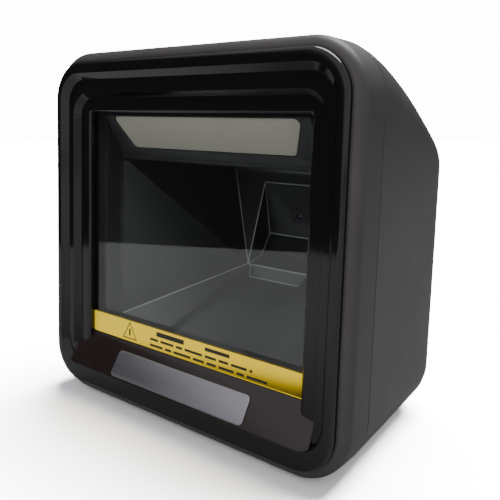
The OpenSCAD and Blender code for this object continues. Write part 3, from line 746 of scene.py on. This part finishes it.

# %% [markdown]
# ## Painted highlights along the light chamber's radii
#
# The mould's small radii catch the light along the chamber's creases. The rounding above
# is held to almost nothing there by the short edges of the lens hole. So a fine bead runs
# along the long creases deep inside, and along the two that rise to them from the window's
# lower corners. The beads are a wire of those edges with a round section. They are coloured
# a much paler grey than the chamber. That is a painted highlight, which stands in for the
# glint on the real radii, and those radii are of the chamber's own plastic.

# %% Beads along the creases
BEAD_R, LONG, DEEP, SHARP = 0.3, 6, 22, 0.2
bm = bmesh.new()
bm.from_mesh(bpy.data.objects["chamber_shell"].data)
before_glass = place(0, -50, 75)


def faces_window(face):
    """True for a face that can be seen through the glass."""
    return face.normal.dot(before_glass - face.calc_center_median()) > 0


def gets_highlight_bead(edge):
    """True for a crease that gets a painted highlight: it lies deep, or starts at a lower window
    corner.
    """
    near = min((v.co for v in edge.verts), key=lambda co: co.y)
    deep = near.y > FACE_Y + DEEP * MM
    return deep or (abs(near.x) > 42 * MM and near.z < 50 * MM and abs(
        edge.verts[0].co.y - edge.verts[1].co.y) > 10 * MM)


creases = [e for e in bm.edges if e.calc_length() > LONG * MM and e.calc_face_angle(0) > SHARP
           and all(faces_window(f) for f in e.link_faces) and gets_highlight_bead(e)]
ends = [v.co.copy() for e in creases for v in e.verts]
bm.free()
lines = bpy.data.meshes.new("chamber_radii")
lines.from_pydata(ends, [(i, i + 1) for i in range(0, len(ends), 2)], [])
beads = bpy.data.objects.new("chamber_radii", lines)
bpy.context.scene.collection.objects.link(beads)
fresh()
beads.select_set(True)
bpy.context.view_layer.objects.active = beads
bpy.ops.object.convert(target="CURVE")
beads.data.bevel_depth, beads.data.bevel_resolution = BEAD_R * MM, 2
beads.data.use_fill_caps = True
bpy.ops.object.convert(target="MESH")
bpy.ops.object.shade_smooth()
# The beads wear the pale grey of a painted highlight, not the chamber's own colour.
dress(beads, painted_highlight)
print("creases with a bead:", len(creases))

# %% [markdown]
# ## The printed strip
#
# A yellow film runs along the glass's lower edge. It carries a plain triangle and a few bars
# of ink. They mean nothing in particular: the bars only stand for lines of small print. Ink is
# a few hundredths of a millimetre thick, so each mark is a thin slab on the film.

# %% Marks on the film
film_y = (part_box("caution_strip")[0].y - FACE_Y) / MM


def ink_bar(x0, x1, z0, z1):
    """One bar of ink on the film."""
    return block("ink", x0, x1, film_y - 0.03, film_y + 0.02, z0, z1)


fresh()
bpy.ops.mesh.primitive_circle_add(vertices=3, radius=5.0 * MM, fill_type="NGON",
                                  location=place(-31.5, film_y - 0.03, 29.0),
                                  rotation=(math.pi / 2, 0, 0))
triangle = bpy.context.object
triangle.name = triangle.data.name = "strip_marks"
bpy.ops.object.transform_apply(location=True, rotation=True, scale=True)
bpy.ops.object.mode_set(mode="EDIT")
bpy.ops.mesh.select_mode(type="FACE")
bpy.ops.mesh.select_all(action="SELECT")
bpy.ops.mesh.inset(thickness=0.42 * MM)
bpy.ops.mesh.delete(type="FACE")
bpy.ops.mesh.select_all(action="SELECT")
bpy.ops.mesh.extrude_region_move(TRANSFORM_OT_translate={"value": (0, 0.05 * MM, 0)})
bpy.ops.mesh.select_all(action="SELECT")
bpy.ops.mesh.normals_make_consistent(inside=False)
bpy.ops.object.mode_set(mode="OBJECT")
bars = [ink_bar(-15.8, -0.8, 31.3, 33.2), ink_bar(10, 22, 31.7, 33.1), ink_bar(-32, -31, 28, 31)]
for row, (z, ends) in enumerate([(29.0, (-19.4, 32.5)), (26.5, (-19.4, 40))]):
    x = ends[0]
    k = row
    while x < ends[1]:
        long = (4.6, 7.2, 3.4, 9.0, 5.6)[k % 5]
        bars.append(ink_bar(x, min(x + long, ends[1]), z, z + 1.0))
        x, k = x + long + 1.3, k + 1
bars.append(ink_bar(-54.2, 54.2, 34.45, 34.8))
marks = join(triangle, bars)
dress(marks, black_ink)
print("marks on the film:", len(marks.data.polygons), "faces")

# %% [markdown]
# ## Finishes for the CAD nodes that stay
#
# The pieces deep inside keep their CAD shapes. Each gets the material of what it is: mask
# for the boards, epoxy for the chips, plated steel for screws.

# %% Dress the CAD nodes
finishes = {
    "window_gasket": foam_black,
    "lamp_reflector": white_abs, "lamp_board": board_mask, "lamp_leds": phosphor,
    "lamp_socket": nylon_socket, "lamp_ribbon": ribbon_film, "lens_holder": chamber_abs,
    "image_sensor": epoxy_black, "camera_board": board_mask, "camera_screws": zinc_steel,
    "camera_ribbon": ribbon_film, "main_board": board_mask, "processor": epoxy_black,
    "shield_can": tin_steel, "board_chips": epoxy_black, "board_sockets": nylon_socket,
    "socket_contacts": gold_plate, "beeper": nylon_black, "button_board": board_mask,
    "tact_switch": tin_steel, "switch_plunger": nylon_black, "button_screws": zinc_steel,
    "thread_inserts": turned_brass, "chamber_screws": zinc_steel, "board_screws": zinc_steel,
    "rating_label": film_silver,
}
for node, material in finishes.items():
    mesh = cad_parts[node].data
    mesh.materials.clear()
    mesh.materials.append(material)
left = [n for n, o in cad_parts.items() if n not in finishes and not o.hide_render]
print("CAD nodes dressed:", len(finishes), "still bare:", left)

# %% [markdown]
# ## Table, backdrop and light
#
# The scanner stands on a plain pale table in soft studio light, with a white wall behind.
# A white table that bright would flood the black bezel with its reflection. Studios solve
# that with dark flags. Here the table is made twice in the same place. The scanner is lit
# by and mirrors a dimmer table that ends a forearm's length in front of the window. Its
# edge is turned, so its mirror image crosses the glass as a slanting line. The camera sees
# only the bright one.

# %% Floor
WHITE, TABLE_W = 14.0, 8.0


def table_top(name, paint, depth, edge, turn, height):
    """A flat table top whose front edge passes through the point edge."""
    fresh()
    middle = Vector(edge) + Matrix.Rotation(turn, 2) @ Vector((0, depth / 2))
    bpy.ops.mesh.primitive_plane_add(size=1, location=(*middle, height),
                                     rotation=(0, 0, turn))
    top = bpy.context.object
    top.name = top.data.name = name
    top.scale = (TABLE_W, depth, 1)
    bpy.ops.object.transform_apply(location=True, rotation=True, scale=True)
    top.data.materials.append(paint)
    return top


mirrored_paint, tree, out = new_material("pale_laminate_seen_by_the_scanner")
shader = add(tree, "ShaderNodeBsdfPrincipled", Base_Color=linear("#a6a6a8"), Roughness=0.9)
tree.links.new(shader.outputs[0], out.inputs["Surface"])
seen_paint, tree, out = new_material("pale_laminate_seen_by_the_camera")
shader = add(tree, "ShaderNodeBsdfDiffuse", Color=(WHITE, WHITE, WHITE, 1))
tree.links.new(shader.outputs[0], out.inputs["Surface"])
mirrored = table_top("mirrored_table", mirrored_paint, 4.0, (-0.143, -0.377),
                     math.radians(-31), -0.0002)
mirrored.visible_camera = mirrored.visible_shadow = False
seen = table_top("seen_table", seen_paint, 12.0, (0, -1.0), 0, 0)
seen.visible_diffuse = seen.visible_glossy = seen.visible_transmission = False
seen.visible_shadow = False
print("tables:", mirrored.name, seen.name)

# %% [markdown]
# The soft boxes leave the bright table alone. Most of them leave the light chamber alone
# too, and two others shine on nothing else, so that the chamber's shades can be set without
# changing the housing's. Only those two show in shiny pieces. A wide sun stands for the
# ceiling's panels.

# %% Studio light


def softbox(name, where, towards, size, power, in_mirrors=False):
    """A square area lamp that looks at a point. Shiny pieces show it only if asked to."""
    lamp = bpy.data.lights.new(name, "AREA")
    lamp.shape, lamp.size, lamp.energy = "SQUARE", size, power
    made = bpy.data.objects.new(name, lamp)
    bpy.context.scene.collection.objects.link(made)
    aim = (Vector(towards) - Vector(where)).to_track_quat("-Z", "Y")
    made.matrix_world = Matrix.Translation(where) @ aim.to_matrix().to_4x4()
    made.visible_glossy = in_mirrors
    return made


def shines_on(lamps, name, pieces, state):
    """Links lamps to pieces: they light only those (INCLUDE) or all but those (EXCLUDE)."""
    group = bpy.data.collections.new(name)
    for number, piece in enumerate(pieces):
        group.objects.link(piece)
        group.collection_objects[number].light_linking.link_state = state
    for lamp in lamps:
        lamp.light_linking.receiver_collection = group


chamber = bpy.data.objects["chamber_shell"]
around = [softbox("right_fill", (0.45, -0.85, 0.35), (0, 0, 0.03), 0.5, 1.2),
          softbox("over_window", (0.18, -0.62, 0.78), (0, 0, 0.05), 0.35, 3),
          softbox("front_fill", (-0.05, -1.2, 0.28), (0, 0, 0.06), 0.8, 9)]
shines_on(around, "all_but_table_and_chamber", [seen, chamber], "EXCLUDE")
left = softbox("front_left", (-0.75, -0.55, 0.95), (0, 0, 0.07), 0.4, 2)
shines_on([left], "all_but_table", [seen], "EXCLUDE")
inside = [softbox("chamber_top", (0.12, -0.4, 0.95), (0, 0, 0.06), 0.3, 9, in_mirrors=True),
          softbox("chamber_low", (-0.45, -0.9, 0.1), (0, 0, 0.08), 0.4, 1.6, in_mirrors=True)]
shines_on(inside, "chamber_only", [chamber, bpy.data.objects["chamber_radii"]], "INCLUDE")
skylight = bpy.data.lights.new("ceiling", "SUN")
skylight.energy, skylight.angle = 3.8, math.radians(44)
ceiling = bpy.data.objects.new("ceiling", skylight)
bpy.context.scene.collection.objects.link(ceiling)
ceiling.matrix_world = Vector((-0.03, -0.42, -1)).to_track_quat("-Z", "Y").to_matrix().to_4x4()

# %% [markdown]
# The surroundings are three things at once. The camera sees a white wall. Shiny pieces
# mirror a glow that grows stronger upwards, where the ceiling is. Everything else gets the
# little light of a dim room.

# %% World
GLOW_UP, GLOW_FROM, GLOW_TO, ROOM = (0.6, -0.3, 1), (0.1, 0.05), (0.5, 0.9), 0.35
world = bpy.data.worlds.new("studio")
bpy.context.scene.world = world
world.use_nodes = True
tree = world.node_tree
tree.nodes.clear()
out = add(tree, "ShaderNodeOutputWorld")
path = add(tree, "ShaderNodeLightPath")
spot = add(tree, "ShaderNodeTexCoord")
height = add(tree, "ShaderNodeVectorMath", {"operation": "DOT_PRODUCT"},
             i0=spot.outputs["Generated"], i1=GLOW_UP)
climb = add(tree, "ShaderNodeMapRange", Value=height.outputs["Value"],
            From_Min=GLOW_FROM[0], To_Min=GLOW_FROM[1], From_Max=GLOW_TO[0], To_Max=GLOW_TO[1])
room = add(tree, "ShaderNodeBackground", Color=linear("#707174"), Strength=ROOM)
ceiling_glow = add(tree, "ShaderNodeBackground", Color=linear("#f8f8ff"),
                   Strength=climb.outputs[0])
white_wall = add(tree, "ShaderNodeBackground", Color=linear("#ffffff"), Strength=WHITE)
dim = add(tree, "ShaderNodeMixShader", i0=path.outputs["Is Glossy Ray"], i1=room.outputs[0],
          i2=ceiling_glow.outputs[0])
both = add(tree, "ShaderNodeMixShader", i0=path.outputs["Is Camera Ray"], i1=dim.outputs[0],
           i2=white_wall.outputs[0])
tree.links.new(both.outputs[0], out.inputs["Surface"])
print("world:", world.name, "with", len(tree.nodes), "nodes")

# %% [markdown]
# ## Finish
#
# The last line brings the view layer up to date.

# %% Finish
bpy.context.view_layer.update()
